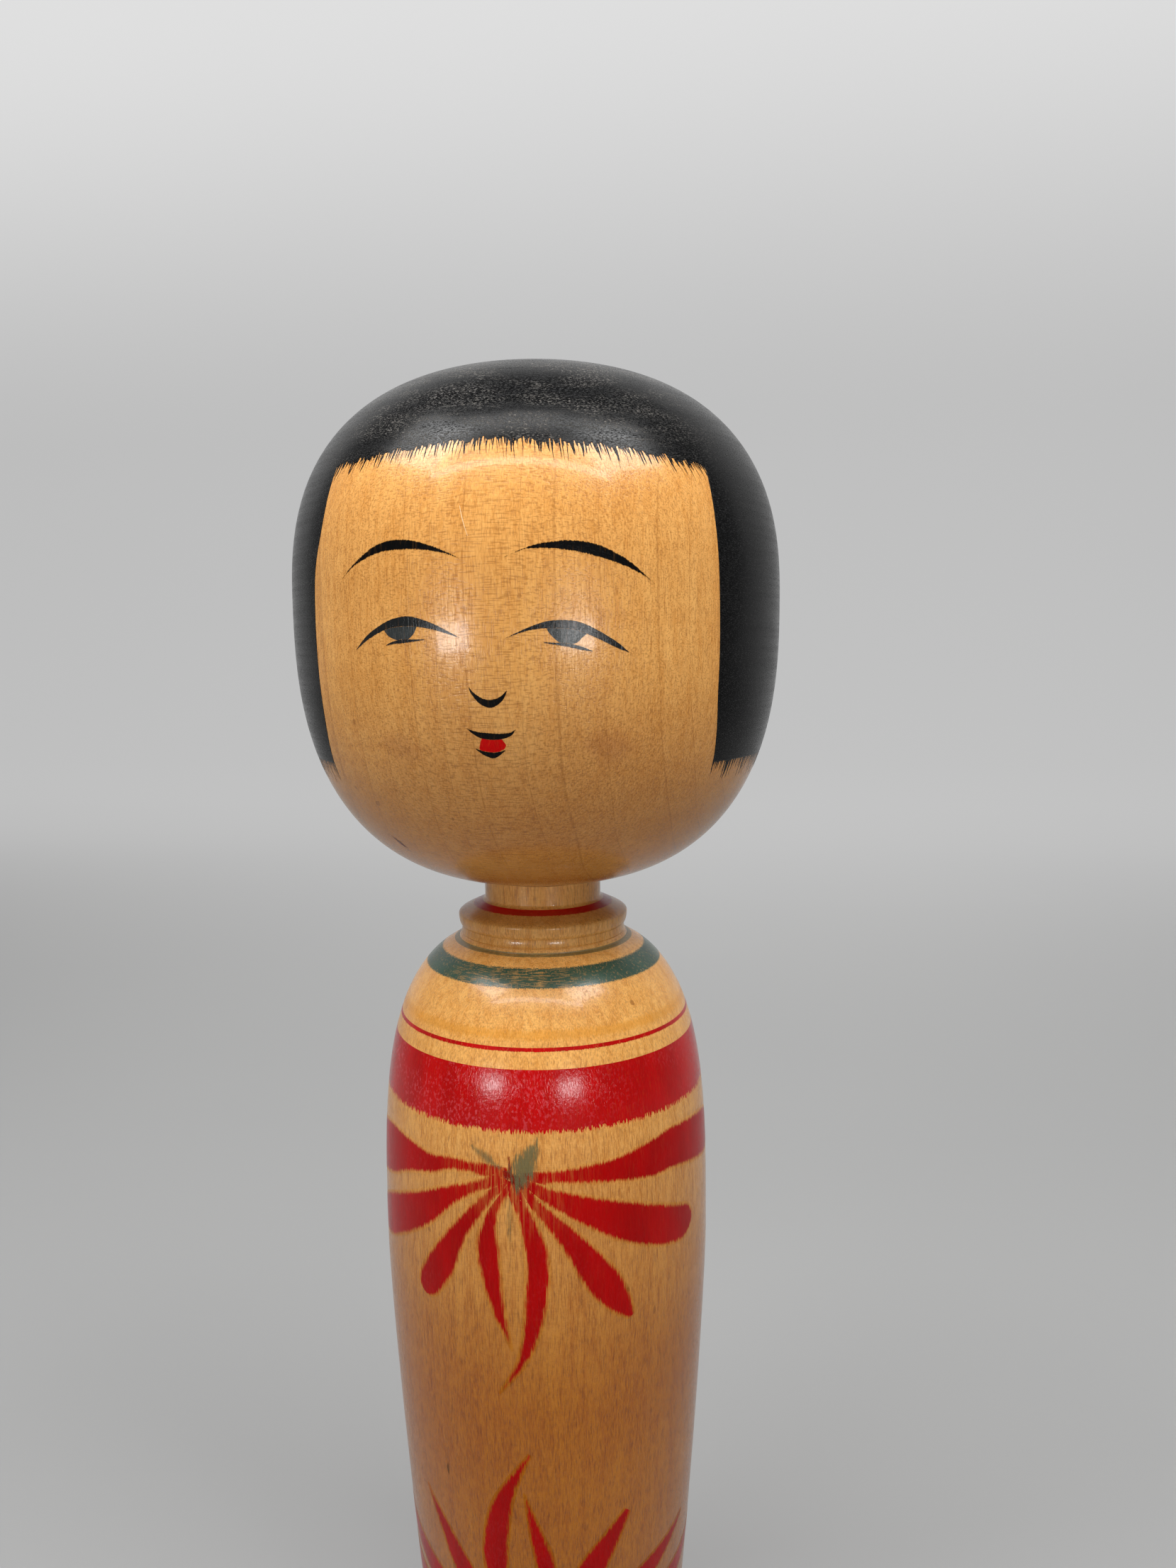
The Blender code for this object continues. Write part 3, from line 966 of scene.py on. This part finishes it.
def hair_paint():
    """Black ink with a satin skin, and grey flecks and fine turning scratches: painted highlight sparkle on
    the front of the crown, and faint wear all round.
    """
    tree, shader, material = principled("black_hair_paint")
    place = millimetres(tree)
    turned = round_the_axis(tree, place)
    sides = axes(tree, place)
    # Painted highlight: grey flecks and scratches on the front of the crown, where the lamps shine.
    across = between(tree, sides["X"], -34.0, -14.0, 16.0, 36.0)
    front = times(tree, across, step_up(tree, sides["Y"], -2.0, 16.0, 1.0, 0.0))
    crown_sparkle_and_wear = times(tree, step_up(tree, sides["Z"], 216.0, 224.0), front)
    crown_sparkle_and_wear = count(tree, "MAXIMUM", crown_sparkle_and_wear, LEAST_WEAR)
    flecks = marks(tree, place, (2.6, 2.6, 9.0), 0.52, 0.70, 3.0)
    worn = marks(tree, place, (0.12, 0.12, 0.5), 0.36, 0.62)
    scratches = marks(tree, turned, (0.10, 0.0, 4.2), 0.66, 0.75)
    dull = marks(tree, turned, (0.03, 0.0, 1.2), 0.36, 0.64, 3.0)
    grit = marks(tree, place, (4.5, 4.5, 7.0), 0.44, 0.60)
    scuffs = times(tree, times(tree, flecks, worn), 0.42)
    grey = times(tree, plus(tree, scuffs, times(tree, scratches, 0.16)), crown_sparkle_and_wear)
    rough = plus(tree, HAIR_ROUGHNESS, times(tree, dull, 0.06))
    height = plus(tree, times(tree, scratches, -0.6), flecks)
    relief = {"Height": height, "Strength": 0.9, "Distance": HAIR_RELIEF}
    fill(tree, shader.inputs, {
        "Base Color": tint(tree, grey, HAIR_BLACK, SPARKLE_GREY), "Specular IOR Level": HAIR_SHINE,
        "Roughness": plus(tree, rough, times(tree, grit, 0.12)),
        "Normal": put(tree, "ShaderNodeBump", relief).outputs[0],
    })
    return material


black_hair = hair_paint()
hair = hair_film("hair", black_hair)
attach(hair, "head")

# Single brush hairs. The ends of the hair strokes stand out of the fringe and of the bob's lower edge as
# fine tapering points, longer and shorter as the brush was lifted. Each kind of hair has its spacing, half
# width, shortest length and longest length.
HEAD_SHEET = 40.0 * MM
TUFTS = (0.50 * MM, 0.30 * MM, 0.8 * MM, 2.8 * MM)
FINE_HAIRS = (0.80 * MM, 0.13 * MM, 1.6 * MM, 3.8 * MM)
BOB_TUFTS = (0.42 * MM, 0.30 * MM, 1.2 * MM, 4.0 * MM)
HAIR_ROOT = 0.9 * MM
FRINGE_FAN = 0.50
HAIR_LEAN = 0.16
HAIR_LIFT = 0.6 * HAIR_FILM
HAIR_TAPER = (1.0, 1.0, 0.8, 0.58, 0.34, 0.04)
SHORT_SHARE = 1.3
HAIR_WIDTHS = (0.6, 1.4)
EDGE_STEPS = 120


def brush_hair():
    """One tapering hair of unit length and half width, hung from the origin, with a ridge in the middle."""
    work = bmesh.new()
    lift = work.verts.layers.float.new("lift")
    rows = []
    for index, width in enumerate(HAIR_TAPER):
        drop = -index / (len(HAIR_TAPER) - 1)
        row = [work.verts.new((side * width, 0.0, drop)) for side in (-1, 0, 1)]
        row[1][lift] = 1.0 if 0 < index < len(HAIR_TAPER) - 1 else 0.0
        rows.append(row)
    join_rows(work, rows)
    return bpy.data.objects.new("brush_hair", mesh_from(work, "brush_hair"))


def chance(tree, low, high, seed):
    """A chance number for each hair, between low and high."""
    node = put(tree, "FunctionNodeRandomValue", data_type="FLOAT")
    sockets = {socket.name: socket for socket in node.inputs if socket.enabled}
    fill(tree, sockets, {"Min": low, "Max": high, "Seed": seed})
    return [socket for socket in node.outputs if socket.enabled][0]


def brush_hairs_tree():
    """Set hairs of chance length and lean along an edge drawn on the flat sheet."""
    numbers = ("Spacing", "Half Width", "Shortest", "Longest", "Root", "Fan", "Lean", "Sheet Radius")
    inputs = [("Edge", "Geometry"), ("Hair", "Object")] + [(label, "Float") for label in numbers]
    inputs += [("Seed", "Int"), ("Ink", "Material")]
    tree, given, made = new_group("brush_hairs", inputs, (("Hairs", "Geometry"),), "GeometryNodeTree")
    curve = put(tree, "GeometryNodeMeshToCurve", {"Mesh": given["Edge"]}).outputs[0]
    spacing = {"Curve": curve, "Length": given["Spacing"]}
    spaced = put(tree, "GeometryNodeResampleCurve", spacing, mode="LENGTH").outputs[0]
    place = axes(tree, put(tree, "GeometryNodeInputPosition").outputs[0])
    fan = times(tree, count(tree, "DIVIDE", place["X"], given["Sheet Radius"]), given["Fan"])
    sway = times(tree, chance(tree, -1.0, 1.0, plus(tree, given["Seed"], 1.0)), given["Lean"])
    share = count(tree, "POWER", chance(tree, 0.0, 1.0, plus(tree, given["Seed"], 2.0)), SHORT_SHARE)
    spread = count(tree, "SUBTRACT", given["Longest"], given["Shortest"])
    length = plus(tree, given["Shortest"], times(tree, share, spread))
    width = times(tree, given["Half Width"], chance(tree, *HAIR_WIDTHS, plus(tree, given["Seed"], 3.0)))
    root = vector(tree, z=given["Root"])
    rooted = put(tree, "GeometryNodeSetPosition", {"Geometry": spaced, "Offset": root}).outputs[0]
    points = {
        "Points": rooted,
        "Instance": put(tree, "GeometryNodeObjectInfo", {"Object": given["Hair"]}).outputs["Geometry"],
        "Rotation": vector(tree, y=count(tree, "SUBTRACT", sway, fan)),
        "Scale": vector(tree, width, 1.0, plus(tree, length, given["Root"])),
    }
    hairs = put(tree, "GeometryNodeInstanceOnPoints", points).outputs[0]
    tree.links.new(painted(tree, hairs, given["Ink"]), made["Hairs"])
    return tree


brush_hairs = brush_hairs_tree()
hair_shape = brush_hair()
BOB = (RIGHT_EDGE[-1], (LEFT_EDGE[-1][0] + 360, LEFT_EDGE[-1][1]))
HAIR_EDGES = (
    ("fringe_tufts", FRINGE, TUFTS, FRINGE_FAN, 11),
    ("fringe_hairs", FRINGE, FINE_HAIRS, FRINGE_FAN, 17),
    ("bob_tufts", BOB, BOB_TUFTS, 0.0, 29),
)
for part_name, edge, (spacing, half_width, shortest, longest), fan, seed in HAIR_EDGES:
    path = edge_run(edge, EDGE_STEPS)
    places = [(math.radians(degrees) * HEAD_SHEET, 0.0, height) for degrees, height in path]
    mesh = bpy.data.meshes.new(part_name)
    mesh.from_pydata(places, [(number, number + 1) for number in range(len(places) - 1)], [])
    hairs = piece_from(mesh, part_name)
    through_tree(hairs, brush_hairs, {
        "Hair": hair_shape, "Spacing": spacing, "Half Width": half_width, "Shortest": shortest,
        "Longest": longest, "Root": HAIR_ROOT, "Fan": fan, "Lean": HAIR_LEAN, "Sheet Radius": HEAD_SHEET,
        "Seed": seed, "Ink": black_hair,
    })
    lay_film(hairs, head_wood, HEAD_SHEET, black_hair, HAIR_LIFT)
    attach(hairs, "head")
bpy.data.objects.remove(hair_shape)

# Face. Brows, eyes, nose and mouth, each a stroke or two of black ink, with a touch of red between the
# lips. Points are degrees round from the middle of the face, height in mm and half width in mm.
BROWS = (
    ((-33.8, 204.3, 0.10), (-30.2, 206.1, 0.24), (-26.6, 207.4, 0.46), (-23.0, 208.35, 0.70),
     (-19.0, 208.7, 0.80), (-15.1, 208.6, 0.70), (-12.0, 208.2, 0.50), (-9.2, 207.7, 0.34),
     (-6.9, 207.15, 0.20), (-4.5, 206.4, 0.09)),
    ((3.2, 206.3, 0.08), (7.5, 207.55, 0.16), (10.3, 207.95, 0.36), (13.5, 208.1, 0.58),
     (16.8, 208.05, 0.78), (20.2, 207.7, 0.88), (23.4, 207.05, 0.84), (26.8, 206.1, 0.64),
     (29.4, 205.15, 0.42), (32.0, 203.97, 0.18), (34.0, 202.9, 0.08)),
)
EYES = (
    ((-30.2, 194.2, 0.06), (-26.3, 196.1, 0.34), (-22.0, 197.5, 0.52), (-19.0, 198.05, 0.66),
     (-16.2, 198.2, 0.72), (-13.7, 197.95, 0.62), (-10.7, 197.4, 0.44), (-8.4, 196.8, 0.28),
     (-5.0, 195.8, 0.05)),
    ((3.8, 195.65, 0.06), (6.6, 196.45, 0.14), (9.2, 197.05, 0.30), (12.1, 197.45, 0.52),
     (15.1, 197.5, 0.60), (17.6, 197.3, 0.62), (20.0, 196.7, 0.60), (22.8, 195.75, 0.52),
     (25.8, 194.6, 0.40), (28.4, 193.55, 0.06)),
    ((-21.6, 194.9, 0.10), (-19.9, 195.25, 0.22), (-17.5, 195.45, 0.30), (-14.6, 195.55, 0.18),
     (-12.5, 195.65, 0.08)),
    ((11.3, 195.05, 0.08), (13.6, 194.87, 0.18), (16.0, 194.68, 0.28), (18.5, 194.25, 0.26),
     (20.9, 193.80, 0.08)),
)
IRISES = (
    ((-22.0, 197.35, 0.25), (-21.0, 197.2, 0.85), (-19.7, 197.0, 1.18), (-18.4, 196.9, 1.36),
     (-16.9, 196.9, 1.34), (-15.8, 197.05, 0.98), (-15.0, 197.3, 0.58), (-14.3, 197.6, 0.20)),
    ((12.0, 197.1, 0.20), (12.9, 196.8, 0.68), (14.2, 196.45, 1.14), (15.4, 196.2, 1.40),
     (17.1, 196.2, 1.36), (18.4, 196.4, 0.88), (19.5, 196.5, 0.44), (20.3, 196.6, 0.15)),
)
NOSE = (
    ((-3.7, 189.1, 0.05), (-3.3, 188.5, 0.18), (-2.4, 187.75, 0.33), (-1.1, 187.05, 0.50),
     (0.4, 186.75, 0.60), (1.7, 187.0, 0.50), (2.8, 187.5, 0.34), (3.5, 188.1, 0.20),
     (4.0, 188.65, 0.04)),
)
LIPS = (
    ((-4.8, 183.33, 0.04), (-3.5, 182.8, 0.26), (-2.1, 182.4, 0.43), (-0.5, 182.22, 0.51),
     (1.2, 182.15, 0.48), (2.9, 182.25, 0.41), (4.3, 182.5, 0.27), (5.5, 183.2, 0.04)),
    ((-3.3, 180.45, 0.08), (-1.8, 179.9, 0.28), (-0.3, 179.56, 0.44), (0.7, 179.5, 0.45),
     (1.9, 179.8, 0.28), (3.1, 180.2, 0.08)),
)
MOUTH_RED = (
    ((-2.2, 181.1, 0.50), (-1.9, 181.05, 0.95), (-1.2, 181.0, 1.12), (0.0, 180.9, 1.18),
     (1.2, 180.95, 1.14), (2.1, 181.1, 0.95), (2.6, 181.25, 0.80), (2.9, 181.4, 0.45)),
)

INK_BLACK = srgb(9, 9, 10)
EYE_BLACK = srgb(24, 26, 27)
IRIS_GREY = srgb(50, 53, 53)
LIP_RED = srgb(206, 3, 3)
INK_GLOSS = 0.28
EYE_GLOSS = 0.24
INK_SHINE = 0.10
FACE_STEPS = 48
UNDER_FILM = 0.8 * FILM
OVER_FILM = 1.3 * FILM
black_ink = paint_on("black_ink", HEAD_BILLET, INK_BLACK, INK_GLOSS, INK_SHINE,
                     Bleed=0.05, Soft=0.06, Bare=0.03)
brow_ink = paint_on("brow_ink", HEAD_BILLET, INK_BLACK, INK_GLOSS, INK_SHINE,
                    Bleed=0.12, Soft=0.12, Bare=0.05)
eye_ink = paint_on("eye_ink", HEAD_BILLET, EYE_BLACK, EYE_GLOSS, Bleed=0.05, Soft=0.05, Bare=0.05)
iris_ink = paint_on("iris_ink", HEAD_BILLET, IRIS_GREY, EYE_GLOSS, Soft=0.0, Bare=0.04)
lip_red = paint_on("lip_red", HEAD_BILLET, LIP_RED, INK_GLOSS, INK_SHINE, Bleed=0.08, Soft=0.06, Bare=0.04)
FACE = (
    ("brows", BROWS, brow_ink, FILM),
    ("irises", IRISES, iris_ink, UNDER_FILM),
    ("eyes", EYES, eye_ink, OVER_FILM),
    ("nose", NOSE, black_ink, FILM),
    ("mouth_red", MOUTH_RED, lip_red, UNDER_FILM),
    ("lips", LIPS, black_ink, OVER_FILM),
)
for part_name, strokes, ink, film in FACE:
    part = brush_on(part_name, strokes, head_wood, HEAD_SHEET, ink, film, FACE_STEPS)
    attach(part, "head")

# Marks. The cheeks carry a faint reddish-brown tint, handling has left a fine scratch on the forehead,
# and the wood has a small knot under the chin and two spots low on the body. Points are degrees round
# from the front, height in mm and half width in mm.
CHEEKS = (
    ((-28.0, 180.2, 0.6), (-23.5, 180.8, 3.2), (-19.0, 180.0, 3.6), (-13.5, 180.4, 0.6)),
    ((17.0, 180.0, 0.6), (22.0, 180.8, 3.4), (27.0, 180.2, 3.8), (33.0, 180.4, 0.6)),
)
KNOT = (((-38.6, 165.6, 0.20), (-37.6, 165.0, 0.60), (-36.5, 164.2, 0.70), (-35.3, 163.4, 0.20)),)
SCRATCH = (((-4.9, 213.7, 0.04), (-4.4, 212.2, 0.07), (-3.8, 210.8, 0.06), (-3.1, 209.4, 0.04)),)
SPOTS = (
    ((19.7, 64.7, 0.04), (19.9, 64.3, 0.20), (20.1, 63.9, 0.04)),
    ((-29.4, 59.8, 0.10), (-29.6, 58.6, 0.40), (-29.4, 57.2, 0.10)),
)
CHEEK_TINT_RED = srgb(164, 82, 48)
KNOT_BROWN = srgb(122, 52, 34)
FRESH_WOOD = srgb(250, 222, 180)
SPOT_BROWN = srgb(104, 66, 26)
SCRATCH_GLOSS = 0.40
MARK_STEPS = 24
cheek_tint = paint_on("cheek_tint", HEAD_BILLET, CHEEK_TINT_RED, clear=True,
                       Bleed=1.0, Soft=3.0, Strength=0.15)
knot_wood = paint_on("knot_wood", HEAD_BILLET, KNOT_BROWN, clear=True, Bleed=0.20, Soft=0.50, Strength=0.9)
bare_scratch = paint_on("bare_scratch", HEAD_BILLET, FRESH_WOOD, SCRATCH_GLOSS, Soft=0.05, Strength=0.7)
spot_wood = paint_on("spot_wood", BODY_BILLET, SPOT_BROWN, clear=True, Bleed=0.05, Soft=0.25, Strength=0.7)
MARKS = (
    ("cheek_stains", CHEEKS, cheek_tint, head_wood, HEAD_SHEET, "head", "head_wood"),
    ("chin_knot", KNOT, knot_wood, head_wood, HEAD_SHEET, "head", "head_wood"),
    ("forehead_scratch", SCRATCH, bare_scratch, head_wood, HEAD_SHEET, "head", "head_wood"),
    ("body_spots", SPOTS, spot_wood, body_wood, BODY_SHEET, "body", "body_wood"),
)
for mark_name, strokes, paint, wood, sheet_radius, body_name, slot_name in MARKS:
    mark = brush_on(mark_name, strokes, wood, sheet_radius, paint, UNDER_FILM, MARK_STEPS)
    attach(mark, body_name)

# Floor, light and camera. A mid-grey paper sweep that glows for the camera and in reflections only:
# a painted brightening, stronger with distance and height, that lights nothing. A wide soft box, a
# strip and two side boxes light the doll from above, two low windows from in front, and a box that no
# reflection shows from behind. The camera is close by, a little above the doll's middle, as in the photo.
SWEEP_WIDTH = 6.0
SWEEP_FRONT = -3.0
SWEEP_BACK = 0.9
SWEEP_BEND = 0.7
SWEEP_TOP = 2.6
SWEEP_STEPS = 24
PAPER = srgb(118, 118, 117)
PAPER_SHADE = srgb(114, 114, 114)
PAPER_CLOUDS = (0.004, 0.004, 0.004)
PAPER_ROUGHNESS = 0.85
WHITE = (1.0, 1.0, 1.0, 1.0)
GLOW_NEAR = 0.17
GLOW_FAR = 0.48
GLOW_ABOVE = 0.24
FAR_FLOOR = (200.0, 1150.0)
HIGH_BACKDROP = (500.0, 1250.0)
ROOM_STRENGTH = 0.06
ROOM_PALE = 0.24
LAMP_TARGET = Vector((0.0, 0.0, 0.16))
UNREFLECTED = "back_box"
# Name, degrees round from the front, degrees up, distance, width and height in metres, and power in watts.
SOFT_BOXES = (
    ("overhead_box", 6.0, 75.0, 0.60, 0.76, 0.12, 3.0),
    ("front_strip", 2.0, 51.0, 0.60, 0.80, 0.04, 1.35),
    ("left_box", -62.0, 55.0, 0.60, 0.28, 0.24, 2.0),
    ("right_box", 62.0, 55.0, 0.60, 0.28, 0.24, 2.1),
    ("left_window", -27.0, -0.5, 0.90, 0.23, 0.08, 1.36),
    ("right_window", 27.0, -0.5, 0.90, 0.23, 0.08, 1.31),
    ("back_box", 180.0, 42.0, 0.80, 0.70, 0.40, 4.0),
)
CAMERA_AZIMUTH = 10.4
CAMERA_DISTANCE = 196.05 * MM
CAMERA_HEIGHT = 194.2 * MM
CAMERA_PITCH = 6.82
CAMERA_YAW = 2.38
CAMERA_ROLL = -0.62
FOCAL_PIXELS = 1600.0
FRAME_PIXELS = 2212.0
SENSOR = 36.0
CAMERA_NEAR = 0.01


def sweep():
    """Floor that bends up into the backdrop."""
    outline = [(SWEEP_FRONT, 0.0), (SWEEP_BACK, 0.0)]
    for index in range(1, SWEEP_STEPS + 1):
        angle = math.pi / 2 * index / SWEEP_STEPS
        outline.append((SWEEP_BACK + SWEEP_BEND * math.sin(angle), SWEEP_BEND * (1 - math.cos(angle))))
    outline.append((SWEEP_BACK + SWEEP_BEND, SWEEP_TOP))
    half = SWEEP_WIDTH / 2
    places = [(side, y, z) for y, z in outline for side in (-half, half)]
    faces = [(2 * row, 2 * row + 1, 2 * row + 3, 2 * row + 2) for row in range(len(outline) - 1)]
    mesh = bpy.data.meshes.new("sweep")
    mesh.from_pydata(places, [], faces)
    mesh.shade_smooth()
    return piece_from(mesh, "sweep")


def seen_rays(tree):
    """One where the camera, a reflection or glass sees the stage, nought where it lights the doll."""
    rays = put(tree, "ShaderNodeLightPath").outputs
    seen = count(tree, "MAXIMUM", rays["Is Camera Ray"], rays["Is Glossy Ray"])
    return count(tree, "MAXIMUM", seen, rays["Is Transmission Ray"])


floor = sweep()
tree, shader, floor_material = principled("pale_paper")
place = millimetres(tree)
sides = axes(tree, place)
# Painted glow: the paper brightens for the camera and reflections only, more with distance and height.
painted_glow = plus(tree, step_up(tree, sides["Y"], *FAR_FLOOR, GLOW_NEAR, GLOW_FAR),
                step_up(tree, sides["Z"], *HIGH_BACKDROP, 0.0, GLOW_ABOVE))
fill(tree, shader.inputs, {
    "Base Color": tint(tree, grain(tree, place, PAPER_CLOUDS), PAPER, PAPER_SHADE),
    "Roughness": PAPER_ROUGHNESS, "Emission Color": WHITE,
    "Emission Strength": times(tree, seen_rays(tree), painted_glow),
})
floor.data.materials.append(floor_material)

world = bpy.data.worlds.new("soft_room")
bpy.context.scene.world = world
world.use_nodes = True
tree = world.node_tree
room_light = step_up(tree, seen_rays(tree), 0.0, 1.0, ROOM_STRENGTH, ROOM_PALE)
fill(tree, tree.nodes["Background"].inputs, {"Color": WHITE, "Strength": room_light})

for name, azimuth, elevation, distance, width, height, power in SOFT_BOXES:
    lamp = bpy.data.lights.new(name, "AREA")
    lamp.shape = "RECTANGLE"
    lamp.size = width
    lamp.size_y = height
    lamp.energy = power
    lamp_object = bpy.data.objects.new(name, lamp)
    angle = math.radians(azimuth)
    rise = math.radians(elevation)
    away = Vector((math.sin(angle) * math.cos(rise), -math.cos(angle) * math.cos(rise), math.sin(rise)))
    lamp_object.location = LAMP_TARGET + away * distance
    lamp_object.rotation_euler = away.to_track_quat("Z", "Y").to_euler()
    lamp_object.visible_glossy = name != UNREFLECTED
    bpy.context.collection.objects.link(lamp_object)

camera_data = bpy.data.cameras.new("camera")
camera_data.sensor_width = SENSOR
camera_data.sensor_fit = "AUTO"
camera_data.lens = SENSOR * FOCAL_PIXELS / FRAME_PIXELS
camera_data.clip_start = CAMERA_NEAR
camera = bpy.data.objects.new("camera", camera_data)
turn = math.radians(CAMERA_AZIMUTH)
yaw, pitch, roll = (math.radians(value) for value in (CAMERA_YAW, CAMERA_PITCH, CAMERA_ROLL))
place = Vector((CAMERA_DISTANCE * math.sin(turn), -CAMERA_DISTANCE * math.cos(turn), CAMERA_HEIGHT))
aim = (Matrix.Rotation(turn - yaw, 4, "Z") @ Matrix.Rotation(math.pi / 2 - pitch, 4, "X")
       @ Matrix.Rotation(roll, 4, "Z"))
camera.matrix_world = Matrix.Translation(place) @ aim
bpy.context.collection.objects.link(camera)
bpy.context.scene.camera = camera
bpy.context.scene.view_settings.view_transform = "Standard"
